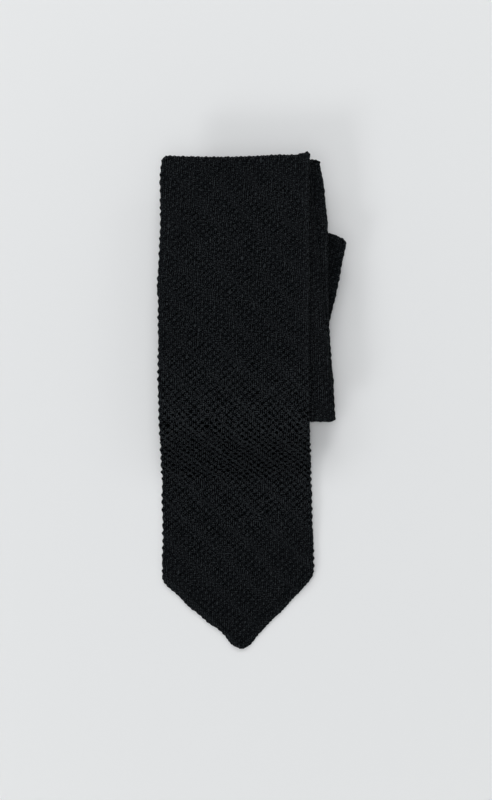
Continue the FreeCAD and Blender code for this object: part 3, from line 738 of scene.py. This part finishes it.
def blade_pocket(x, y):
    """Recess behind the point where the tipping lies."""
    ins = np.minimum(x + 25.0, 23.6 - x)
    l = (x - (-25.0)) * 21.1 - (-111.5 - y) * 23.5
    top = -96.0 - y
    # inside of the two slanted lower edges
    dl = (y - (-111.5 + (x + 25.0) * (-132.6 + 111.5) / (-1.5 + 25.0))) / 1.34
    dr = (y - (-108.5 + (23.6 - x) * (-132.6 + 108.5) / (23.6 - 2.0))) / 1.34
    d = np.minimum(np.minimum(ins, top), np.minimum(dl, dr))
    return smooth(-0.25, 0.15, d)


def tail_pocket(x, y):
    ins = np.minimum(x + 14.0, 14.0 - x)
    bot = y - 25.0
    d1 = (31.0 + (14.0 - np.abs(x)) * 0.96 - y) / 1.39
    d = np.minimum(np.minimum(ins, bot), d1)
    return smooth(-0.25, 0.15, d)


DS1 = 0.25
blade_st = stations_blade(DS1)
n1 = len(blade_st["s"])
tip_d = blade_st["P"][:, 1] + 141.25
blade_st["thin"] = np.sqrt(np.clip(1 - (1 - np.clip(tip_d / 0.9, 0, 1)) ** 2, 0.02, 1))
S_BLADE = blade_st["s"][-1]
NF1, NB1 = ((236, 78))
seam_s = (float(np.interp(-90.0, blade_st["P"][:, 1], blade_st["s"])), float(np.interp(50.0, blade_st["P"][:, 1], blade_st["s"])))
TB = {}
TB[1] = tube(blade_st, NF1, NB1, top_extra=0.10, seam=(SEAM_X[1], *seam_s), pocket=blade_pocket)
s_end = S_BLADE
STN = {1: blade_st}
for k in range(2, 14):
    far = k >= 7
    nf = 118 if far else 148
    nb = nf // 2
    ds = (0.45 if far else 0.385)
    bend = stations_bend(k - 1, s_end, 15)
    s_b = bend["s"][-1]
    pan = stations_panel(k, s_b, ds)
    if k == 13:
        d = 48.9 - pan["P"][:, 1]
        pan["thin"] = np.sqrt(np.clip(1 - (1 - np.clip(d / 0.9, 0, 1)) ** 2, 0.02, 1))
    # take the blade's or the last layer's edges into the bend
    prev = STN[k - 1]
    pl, pr = prev["xl"][-1], prev["xr"][-1]
    if k == 2:
        pl, pr = pl - FOLD[1]["c"][0], pr - FOLD[1]["c"][0]
    q = np.linspace(0, 1, len(bend["s"]))
    c2 = np.cos(bend["ang"]) ** 2
    bend["xl"] = pl * (1 - q) + pan["xl"][0] * q + 1.5 * c2
    bend["xr"] = pr * (1 - q) + pan["xr"][0] * q - (0.6 if k == 2 else 1.3) * c2
    STN[-(k - 1)] = bend
    STN[k] = pan
    seam = (SEAM_X[k], pan["s"][0] + 4.5, pan["s"][-1] - 4.5 if k < 13 else float(np.interp(22.0, pan["P"][:, 1], pan["s"])))
    TB[k] = tube(pan, nf, nb, seam=seam, pocket=tail_pocket if k == 13 else None)
    TB[-(k - 1)] = tube(bend, nf, nb)
    s_end = pan["s"][-1]

# hand-laid folds are not straight: outward shift along each fold (lateral, mm)
FOLD_SHAPE = {1: ([-31, -29, -25.5, -23, -21, -18.4, -16, -9, -4, 5.4, 8, 10, 12.6, 17.3, 22, 24.5, 27, 29, 31],
                  [0.7, 0.8, 0.82, 0.65, 0.5, 0.25, 0.08, -0.2, -0.35, -0.27, -0.28, -0.17, 0.11, 0.38, 0.24, 0.34, 0.8, 1.4, 1.3]),
              2: ([-30, 0, 20, 28], [0.0, 0.0, 0.45, 0.5]),
              3: ([-30, 5, 22, 30], [0.0, 0.0, 0.8, 0.8]),
              5: ([-25, -10, 17.7, 19.2, 21.5, 24.0, 25.5], [0.0, 0.2, 2.0, 1.9, 1.45, 0.85, 0.6])}


def warp_fold(tb, j, reach=15.0):
    if j not in FOLD_SHAPE:
        return
    f = FOLD[j]
    V = tb["V"]
    rel = V - f["c"]
    lat = rel[..., 0] * f["u"][0] + rel[..., 1] * f["u"][1]
    out = rel[..., 0] * f["out"][0] + rel[..., 1] * f["out"][1]
    e = np.interp(lat, *FOLD_SHAPE[j]) * smooth(-reach, -1.0, out)
    tb["V"] = V + e[..., None] * f["out"]


def blade_lift(x, y):
    """The blade's right side does not lie quite flat near its point."""
    right = 1.5 * smooth(9, 30, x) * smooth(-126, -108, y) * smooth(-60, -88, y)
    return right + 1.6 * smooth(12, 30, x) * smooth(-98, -84, y) * smooth(-56, -74, y) + 0.7 * smooth(-12, -30, x) * smooth(-120, -100, y) * smooth(-60, -84, y)


for j in range(1, 13):
    warp_fold(TB[j], j)
    warp_fold(TB[-j], j)
    warp_fold(TB[j + 1], j)
V1 = TB[1]["V"]
V1[..., 2] += blade_lift(V1[..., 0], V1[..., 1])

FLAT_END = 3.0              # the bend piece takes this much flat cloth with it


def rows_at(k, from_start, dist):
    s = STN[k]["s"]
    if from_start:
        return int(np.searchsorted(s, s[0] + dist))
    return int(np.searchsorted(s, s[-1] - dist))


def stack_rows(parts):
    """Join row ranges of tubes with equal column counts."""
    keys = ("V", "tone", "hole", "i", "j")
    out = {key: np.concatenate([p[key][a:b] for p, (a, b) in parts], 0) for key in keys}
    out.update({q: parts[0][0][q] for q in ("nf", "nb", "m")})
    return out


def resample_columns(tb, nf, nb):
    """Same tube rows with another number of columns on face and back."""
    m = tb["m"]
    res = {"nf": nf, "nb": nb, "m": m}
    f0, b0 = tb["nf"], tb["nb"]

    def part(arr, a, b, count):
        seg = arr[:, a:b]
        x = np.linspace(0, seg.shape[1] - 1, count)
        lo = np.clip(np.floor(x).astype(int), 0, seg.shape[1] - 2)
        w = x - lo
        if seg.ndim == 3:
            w = w[None, :, None]
        else:
            w = w[None, :]
        return seg[:, lo] * (1 - w) + seg[:, lo + 1] * w

    for key in ("V", "tone", "hole", "i", "j"):
        arr = tb[key]
        res[key] = np.concatenate([part(arr, 0, f0, nf), arr[:, f0:f0 + m], part(arr, f0 + m, f0 + m + b0, nb), arr[:, f0 + m + b0:]], 1)
    return res


# bend pieces, each joined with the flat ends of its two layers
cut = {1: [0, n1 - 1]}
for k in range(2, 14):
    cut[k] = [0, len(STN[k]["s"]) - 1]
for j in range(1, 13):
    upper, lower = TB[j], TB[j + 1]
    bend = TB[-j]
    r_up = rows_at(j, False, FLAT_END)
    r_lo = rows_at(j + 1, True, FLAT_END)
    cut[j][1] = r_up
    cut[j + 1][0] = r_lo
    if upper["nf"] != bend["nf"] or upper["nb"] != bend["nb"]:
        # the bend piece keeps the columns of the layer above it
        bend = resample_columns(bend, upper["nf"], upper["nb"])
        lower = resample_columns(lower, upper["nf"], upper["nb"])
        if j == 1:
            # the first bend is finely knitted like the blade
            st = dict(STN[-1])
            n = 24
            ang = np.linspace(math.pi / 2, -math.pi / 2, n)
            fine = stations_bend(1, STN[-1]["s"][0], n)
            q = np.linspace(0, 1, n)
            c2 = np.cos(ang) ** 2
            pl, pr = STN[1]["xl"][-1] - FOLD[1]["c"][0], STN[1]["xr"][-1] - FOLD[1]["c"][0]
            fine["xl"] = pl * (1 - q) + STN[2]["xl"][0] * q + 1.0 * c2
            fine["xr"] = pr * (1 - q) + STN[2]["xr"][0] * q - 0.6 * c2
            bend = tube(fine, upper["nf"], upper["nb"])
            warp_fold(bend, 1)
    nb_rows = bend["V"].shape[0]
    a_rows = upper["V"].shape[0] - 1 - r_up
    joined = stack_rows([(upper, (r_up, upper["V"].shape[0] - 1)), (bend, (0, nb_rows)), (lower, (1, r_lo + 1))])
    ob = tube_object("knit_bend_%02d" % j, joined, KNIT)
    f = FOLD[j]
    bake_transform(ob)
    # weights along the piece: 0 on the upper flat end, rising smoothly over the bend to 1 on the lower one; they are
    # not used
    ang = np.linspace(0, 1, nb_rows)
    wb = ang * ang * (3 - 2 * ang)
    w_rows = np.concatenate([np.zeros(a_rows), wb, np.ones(r_lo)])
    w = np.repeat(w_rows, joined["V"].shape[1]).astype(np.float32)
    pieces.append(ob)

names = {1: "blade", 13: "tail"}
for k in range(1, 14):
    a, b = cut[k]
    if k == 1:
        # three closed lengths of the blade so that none is too heavy
        y = blade_st["P"][:, 1]
        c1, c2 = int(np.searchsorted(y, -82.0)), int(np.searchsorted(y, -12.0))
        spans = [("knit_blade_point", 0, c1), ("knit_blade_middle", c1, c2), ("knit_blade_top", c2, b)]
    else:
        spans = [("knit_panel_%02d" % k if k < 13 else "knit_tail", a, b)]
    for q, (nm, r0, r1) in enumerate(spans):
        ob = tube_object(nm, TB[k], KNIT, rows=(r0, r1))
        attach(ob, BODY[k])
        if q == 0:
            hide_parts("shell_%02d" % k)
        pieces.append(ob)


# --------------------------------------------------------- sheets and threads
def sheet(name, P, U, N, xl, xr, half, material, body, node_name, nx=30, lift=0.0, ripple=0.0, seed=3):
    """Closed thin cloth through a list of stations."""
    n = len(P)
    e = np.linspace(0, 1, nx)[None]
    x = xl[:, None] + (xr - xl)[:, None] * e
    rip = ripple * noise(x * 0.2, np.arange(n)[:, None] * 0.2 + 0 * x, seed)
    edge = np.sqrt(np.clip(1 - (2 * e - 1) ** 12, 0.0, 1)) * 0.7 + 0.3
    top = P[:, None] + U[:, None] * x[..., None] + N[:, None] * (lift + rip + half * edge)[..., None]
    bot = P[:, None] + U[:, None] * x[..., None] + N[:, None] * (lift + rip - half * edge)[..., None]
    V = np.concatenate([top, bot[:, ::-1]], 1)
    if body == "front_blade":
        V[..., 2] += blade_lift(V[..., 0], V[..., 1])
    c = 2 * nx
    quads = ring_faces(n, c)
    ring0 = list(range(c))
    SPLIT["v"] = nx
    tris = cap(ring0, True) + cap([(n - 1) * c + q for q in ring0], False)
    ob = mesh_object(name, V.reshape(-1, 3), quads, tris, None, material)
    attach(ob, body)
    if node_name:
        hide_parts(node_name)
    pieces.append(ob)
    return ob


def thread_tube(name, paths, radius, material, body, node_name, sides=6):
    """Closed round threads along polylines, as one piece."""
    Vs, Q, Tr, tone, hole, wv = [], [], [], [], [], []
    base = 0
    for path in paths:
        p = np.asarray(path, float)
        n = len(p)
        d = np.gradient(p, axis=0)
        d /= np.linalg.norm(d, axis=1)[:, None] + 1e-9
        up = np.tile([0, 0, 1.0], (n, 1))
        flat = np.abs(d[:, 2]) > 0.95
        up[flat] = [0, 1.0, 0]
        s1 = np.cross(d, up)
        s1 /= np.linalg.norm(s1, axis=1)[:, None]
        s2 = np.cross(s1, d)
        th = np.linspace(0, 2 * math.pi, sides, endpoint=False)
        rad = np.full(n, radius)
        rad[0] = rad[-1] = radius * 0.35
        ring = p[:, None] + rad[:, None, None] * (s1[:, None] * np.cos(th)[None, :, None] + s2[:, None] * np.sin(th)[None, :, None])
        Vs.append(ring.reshape(-1, 3))
        a = ring_faces(n, sides)[:, ::-1] + base
        Q.append(a)
        for q in range(1, sides - 1):
            Tr.append((base, base + q, base + q + 1))
            e0 = base + (n - 1) * sides
            Tr.append((e0, e0 + q + 1, e0 + q))
        arc = np.r_[0, np.cumsum(np.linalg.norm(np.diff(p, axis=0), axis=1))]
        tone.append(np.full(n * sides, 0.55))
        hole.append(np.zeros(n * sides))
        wv.append(np.stack([np.repeat(arc * 2.0, sides), np.tile(th / 2.4, n), np.zeros(n * sides)], 1))
        base += n * sides
    ob = mesh_object(name, np.concatenate(Vs), np.concatenate(Q), Tr, {"tone": np.concatenate(tone), "weave": np.concatenate(wv)}, material)
    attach(ob, body)
    if node_name:
        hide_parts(node_name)
    pieces.append(ob)
    return ob


for k in range(1, 14):
    st = STN[k]
    s = st["s"]
    inset = 2.0
    lo, hi = s[0] + 2.4, s[-1] - 2.4
    if k == 1:
        lo = s[0] + 3.2
    if k == 13:
        hi = s[-1] - 3.0
    n = int((hi - lo) / 2.0)
    q = np.linspace(lo, hi, n)
    P = np.stack([np.interp(q, s, st["P"][:, d]) for d in range(3)], 1)
    U = np.stack([np.interp(q, s, st["U"][:, d]) for d in range(3)], 1)
    N = np.stack([np.interp(q, s, st["N"][:, d]) for d in range(3)], 1)
    xl, xr = np.interp(q, s, st["xl"]) + inset, np.interp(q, s, st["xr"]) - inset
    slope_in = 1.2 if k in (1, 13) else 0
    xl, xr = np.minimum(xl + slope_in, -0.2 + 0 * xl), np.maximum(xr - slope_in, 0.6 + 0 * xr)
    sheet("interlining_cloth_%02d" % k, P, U, N, xl, xr, 0.14, LINING, BODY[k], "interlining_%02d" % k, nx=26)
    # slip stitches of the centre-back seam
    if k == 1:
        a, b = seam_s
    elif k == 13:
        a, b = s[0] + 4.8, float(np.interp(21.6, st["P"][:, 1], s))
    else:
        a, b = s[0] + 4.8, s[-1] - 4.8
    q = np.arange(a, b, 0.5)
    P = np.stack([np.interp(q, s, st["P"][:, d]) for d in range(3)], 1)
    U = np.stack([np.interp(q, s, st["U"][:, d]) for d in range(3)], 1)
    N = np.stack([np.interp(q, s, st["N"][:, d]) for d in range(3)], 1)
    ph = (q - a) / 4.0 * 2 * math.pi
    lat = SEAM_X[k] + 0.20 * np.sin(ph)
    dep = 0.50 + 0.07 * np.cos(2 * ph)
    path = P + U * lat[:, None] - N * dep[:, None]
    thread_tube("slip_stitch_%02d" % k, [path], 0.15, THREAD, BODY[k], "back_seam_%02d" % k)

# tipping behind the two points
ys = np.linspace(-132.0, -96.4, 40)
tl = np.where(ys < -111.3, -24.6 + (-111.3 - ys) * (23.2 / 20.9), -24.6)
tr = np.where(ys < -108.4, 23.2 - (-108.4 - ys) * (21.4 / 23.8), 23.2)
n = len(ys)
sheet("tipping_satin_blade", np.c_[np.zeros(n), ys, np.full(n, 0.15)], np.tile([1.0, 0, 0], (n, 1)), np.tile([0, 0, 1.0], (n, 1)), tl, np.maximum(tr, tl + 0.6),
      0.11, TIPPING, "front_blade", "blade_tipping", nx=40)
ys = np.linspace(25.4, 42.5, 22)
hw = np.where(ys > 30.8, 13.6 - (ys - 30.8) * (12.3 / 11.8), 13.6)
n = len(ys)
sheet("tipping_satin_tail", np.c_[np.zeros(n), ys, np.full(n, 0.15)], np.tile([1.0, 0, 0], (n, 1)), np.tile([0, 0, 1.0], (n, 1)), -hw, hw,
      0.11, TIPPING, "tail_end", "tail_tipping", nx=26)

# label and care tab, woven and blank
lo, hi = [np.array(v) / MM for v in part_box("blank_label")]
n = 24
ys = np.linspace(lo[1], hi[1], n)
sheet("label_cloth", np.c_[np.zeros(n), ys, np.full(n, (lo[2] + hi[2]) / 2)], np.tile([1.0, 0, 0], (n, 1)), np.tile([0, 0, 1.0], (n, 1)),
      np.full(n, lo[0]), np.full(n, hi[0]), 0.10, LABEL, "front_blade", "blank_label", nx=48, ripple=0.01)
lo, hi = [np.array(v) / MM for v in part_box("care_tab")]
n = 20
ys = np.linspace(lo[1], hi[1], n)
sheet("care_tab_cloth", np.c_[np.zeros(n), ys, np.full(n, (lo[2] + hi[2]) / 2) - 0.02 * np.sin(np.linspace(0, 3, n))], np.tile([1.0, 0, 0], (n, 1)), np.tile([0, 0, 1.0], (n, 1)),
      np.full(n, lo[0]), np.full(n, hi[0]), 0.08, TAB, "front_blade", "care_tab", nx=20)

# keeper loop: a ribbed knitted band on two turned-up ends
lo, hi = [np.array(v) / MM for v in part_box("keeper_loop")]
n = 120
xs = np.linspace(lo[0] + 0.1, hi[0] - 0.1, n)
endd = np.minimum(xs - lo[0], hi[0] - xs)
zc = lo[2] + 0.23 + (hi[2] - 0.24 - lo[2] - 0.23) * smooth(2.6, 0.8, endd)
nx = 42
e = np.linspace(0, 1, nx)[None]
yl, yh = lo[1] + 0.1, hi[1] - 0.1
yy = yl + (yh - yl) * e + 0 * xs[:, None]
rib = 0.055 * np.cos(2 * np.pi * yy / 0.9) * np.ones_like(yy) + 0.02 * np.cos(2 * np.pi * xs / 0.8)[:, None]
edge = np.sqrt(np.clip(1 - (2 * e - 1) ** 16, 0, 1)) * 0.8 + 0.2
X = np.repeat(xs[:, None], nx, 1)
top = np.stack([X, yy, zc[:, None] + (0.16 + rib * 0.5) * edge], -1)
bot = np.stack([X, yy, zc[:, None] - (0.16 + rib) * edge], -1)
V = np.concatenate([top, bot[:, ::-1]], 1)
c = 2 * nx
SPLIT["v"] = nx
ring0 = list(range(c))
quads = ring_faces(n, c)[:, ::-1]
tris = cap(ring0, False) + cap([(n - 1) * c + q for q in ring0], True)
iy = np.concatenate([yy, yy[:, ::-1]], 1)
ix = np.concatenate([X, X[:, ::-1]], 1)
ob = mesh_object("keeper_loop_band", V.reshape(-1, 3), quads, tris,
                 {"tone": (0.5 + 0.3 * np.cos(2 * np.pi * iy / 0.9)).ravel(), "weave": np.stack([ix.ravel(), iy.ravel(), 0 * ix.ravel()], 1)}, LOOPM)
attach(ob, "front_blade")
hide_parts("keeper_loop")
pieces.append(ob)

# hand stitches and bar tacks
lo, hi = [np.array(v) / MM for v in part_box("loop_stitches")]
paths = []
for sx in (lo[0] + 1.2, hi[0] - 1.2):
    for sy in (lo[1] + 0.3, hi[1] - 0.3):
        for dy in (-0.16, 0.16):
            q = np.linspace(-1.05, 1.05, 9)
            paths.append(np.c_[sx + q, sy + dy + 0.05 * np.sin(q * 2), hi[2] - 0.12 - 0.02 * np.cos(q * 1.4)])
thread_tube("loop_hand_stitches", paths, 0.085, THREAD, "front_blade", "loop_stitches")
for nm, node_name, body in (("bar_tack_blade", "blade_bar_tack", "front_blade"), ("bar_tack_tail", "tail_bar_tack", "tail_end")):
    lo, hi = [np.array(v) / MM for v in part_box(node_name)]
    paths = []
    zc = (lo[2] + hi[2]) / 2
    q = np.linspace(lo[0] + 0.1, hi[0] - 0.1, 24)
    for dy in (-0.3, 0.0, 0.3):
        paths.append(np.c_[q, np.full(24, (lo[1] + hi[1]) / 2 + dy), np.full(24, zc + 0.02)])
    for x in np.arange(lo[0] + 0.3, hi[0] - 0.2, 0.34):
        w = np.linspace(lo[1] + 0.08, hi[1] - 0.08, 7)
        paths.append(np.c_[x + 0.1 * np.linspace(-1, 1, 7), w, zc - 0.06 - 0.03 * np.cos(np.linspace(-1.4, 1.4, 7))])
    thread_tube(nm, paths, 0.075, THREAD, body, node_name)

# ------------------------------------------------------------------ the stage
FLOOR_A, FLOOR_B = (0.800, 0.812, 0.822), (0.845, 0.858, 0.862)
floor_m, nt, b = new_material("paper_floor")
geo = node(nt, "ShaderNodeTexCoord").outputs["Object"]
sep = node(nt, "ShaderNodeSeparateXYZ")
nt.links.new(geo, sep.inputs[0])
nz = node(nt, "ShaderNodeTexNoise")
nz.inputs["Scale"].default_value = 6.0
nt.links.new(geo, nz.inputs["Vector"])
# painted light: the paper is painted lighter away from the middle, standing in for the brighter light further from the
# object
fx = math_node(nt, "MULTIPLY", sep.outputs[0], 7.0)
fy = math_node(nt, "MULTIPLY", math_node(nt, "ADD", sep.outputs[1], 0.03), 5.5)
r2 = math_node(nt, "ADD", math_node(nt, "MULTIPLY", fx, fx), math_node(nt, "MULTIPLY", fy, fy))
f = math_node(nt, "ADD", math_node(nt, "MULTIPLY", math_node(nt, "MINIMUM", r2, 1.6), 0.5), math_node(nt, "MULTIPLY", nz.outputs["Fac"], 0.1))
nt.links.new(ramp(nt, f, [(0.0, FLOOR_A), (0.9, FLOOR_B)]), b.inputs["Base Color"])
b.inputs["Roughness"].default_value = 0.85
b.inputs["Specular IOR Level"].default_value = 0.1
# far from the object the paper fades into the backdrop
PALE = 0.70
glow = node(nt, "ShaderNodeEmission")
glow.inputs[0].default_value = (0.98 * PALE, 0.99 * PALE, PALE, 1)
far = math_node(nt, "SQRT", math_node(nt, "ADD", math_node(nt, "MULTIPLY", sep.outputs[0], sep.outputs[0]), math_node(nt, "MULTIPLY", sep.outputs[1], sep.outputs[1])))
fade = node(nt, "ShaderNodeMapRange", interpolation_type="SMOOTHSTEP")
fade.inputs["From Min"].default_value, fade.inputs["From Max"].default_value = 0.55, 1.9
nt.links.new(far, fade.inputs["Value"])
both = node(nt, "ShaderNodeMixShader")
nt.links.new(fade.outputs[0], both.inputs[0])
nt.links.new(b.outputs[0], both.inputs[1])
nt.links.new(glow.outputs[0], both.inputs[2])
nt.links.new(both.outputs[0], [q for q in nt.nodes if q.bl_idname == "ShaderNodeOutputMaterial"][0].inputs[0])
me = bpy.data.meshes.new("floor")
R = 9.0
me.from_pydata([(-R, -R, 0), (R, -R, 0), (R, R, 0), (-R, R, 0)], [], [(0, 1, 2, 3)])
me.materials.append(floor_m)
floor = bpy.data.objects.new("floor", me)
floor.location.z = -0.0001
bpy.context.scene.collection.objects.link(floor)

world = bpy.data.worlds.new("soft_room")
bpy.context.scene.world = world
world.use_nodes = True
world.node_tree.nodes["Background"].inputs[0].default_value = (0.98, 0.99, 1.0, 1)
# even room light of 0.225; where it is seen directly it is as pale as the floor
wt = world.node_tree
seen = wt.nodes.new("ShaderNodeLightPath").outputs["Is Camera Ray"]
wt.links.new(math_node(wt, "ADD", math_node(wt, "MULTIPLY", seen, PALE - 0.225), 0.225), wt.nodes["Background"].inputs[1])


def area(name, loc, aim, size, power, color=(1, 1, 1)):
    li = bpy.data.lights.new(name, "AREA")
    li.shape = "RECTANGLE"
    li.size, li.size_y = size
    li.energy = power
    li.color = color
    ob = bpy.data.objects.new(name, li)
    ob.location = loc
    d = np.array(aim, float) - np.array(loc, float)
    from mathutils import Vector
    ob.rotation_euler = Vector(d).to_track_quat("-Z", "Y").to_euler()
    bpy.context.scene.collection.objects.link(ob)
    return ob


area("key", (-1.6, -1.64, 1.6), (0, -0.04, 0), (0.8, 0.8), 14.3)
area("overhead", (-0.15, -0.20, 1.6), (0, -0.04, 0), (1.1, 1.1), 5.2)
area("above", (0.0, -0.04, 1.6), (0, -0.04, 0), (0.26, 0.26), 5.0)
area("back", (0.0, 1.42, 1.6), (0, -0.04, 0), (0.8, 1.1), 10.2)
area("back_left", (-1.15, 1.56, 1.6), (0, -0.04, 0), (1.6, 0.8), 7.2)
area("back_right", (1.6, 1.56, 1.6), (0, -0.04, 0), (0.8, 0.8), 2.6)

cam = bpy.data.cameras.new("camera")
cam.sensor_width = 36.0
cam.lens = 36.0 * 1.0 / 0.324
cam.clip_start, cam.clip_end = 0.05, 20
co = bpy.data.objects.new("camera", cam)
co.location = (0.00243, -0.0405, 1.0)
co.rotation_euler = (0, 0, 0)
bpy.context.scene.collection.objects.link(co)
bpy.context.scene.camera = co
bpy.context.scene.view_settings.view_transform = "Standard"
bpy.context.scene.view_settings.look = "None"
